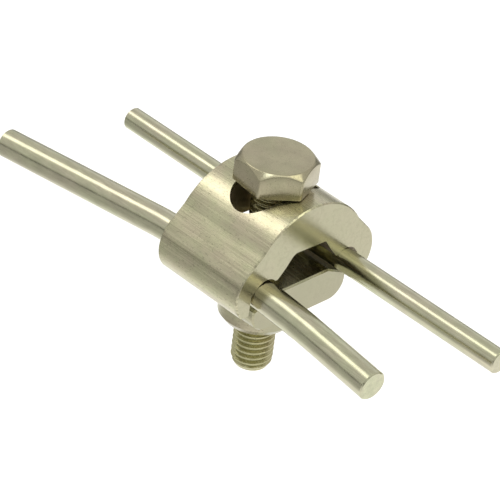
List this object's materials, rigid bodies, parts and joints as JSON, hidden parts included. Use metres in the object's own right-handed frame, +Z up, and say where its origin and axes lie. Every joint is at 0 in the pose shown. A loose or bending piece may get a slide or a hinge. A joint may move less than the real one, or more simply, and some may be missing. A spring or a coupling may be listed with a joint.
{
  "type": "earthing pipe clamp",
  "caption": "Bolted parallel clamp: a round-backed upper jaw and a tapped lower jaw grip two round conductors side by side.",
  "frame": {"origin": "on the axis of the thinner conductor, halfway along the jaws", "axes": "+Y along the thinner conductor, +Z up out of the upper jaw's round back, -X towards the thicker conductor. The bolt leans 2.1 degrees about Y, its head towards -X"},
  "size_m": [0.043, 0.1323, 0.0568],
  "materials": {
    "jaw_metal": "plated, drawn streaks along the length, half matt sawn ends",
    "bolt_metal": "plated, satin",
    "conductor_metal": "smooth drawn wire, half gloss"
  },
  "bodies": {
    "clamped_pair": {"upper_jaw": "jaw_metal", "near_conductor": "conductor_metal", "far_conductor": "conductor_metal"},
    "screw": {"bolt": "bolt_metal"},
    "moving_jaw": {"lower_jaw": "jaw_metal"}
  },
  "joints": [
    {"name": "bolt_turn", "type": "hinge", "parent": "clamped_pair", "child": "screw", "pos_m": [-0.0122, 0, -0.00029], "axis": [-0.0363, 0, 0.9993], "range_deg": [0, 2880]},
    {"name": "jaw_travel", "type": "slide", "parent": "clamped_pair", "child": "moving_jaw", "axis": [0.0363, 0, -0.9993], "range_m": [0, 0.012]}
  ],
  "couplings": [
    {"joint": "bolt_turn", "follows": "jaw_travel", "rad_per_m": 4188.8}
  ]
}
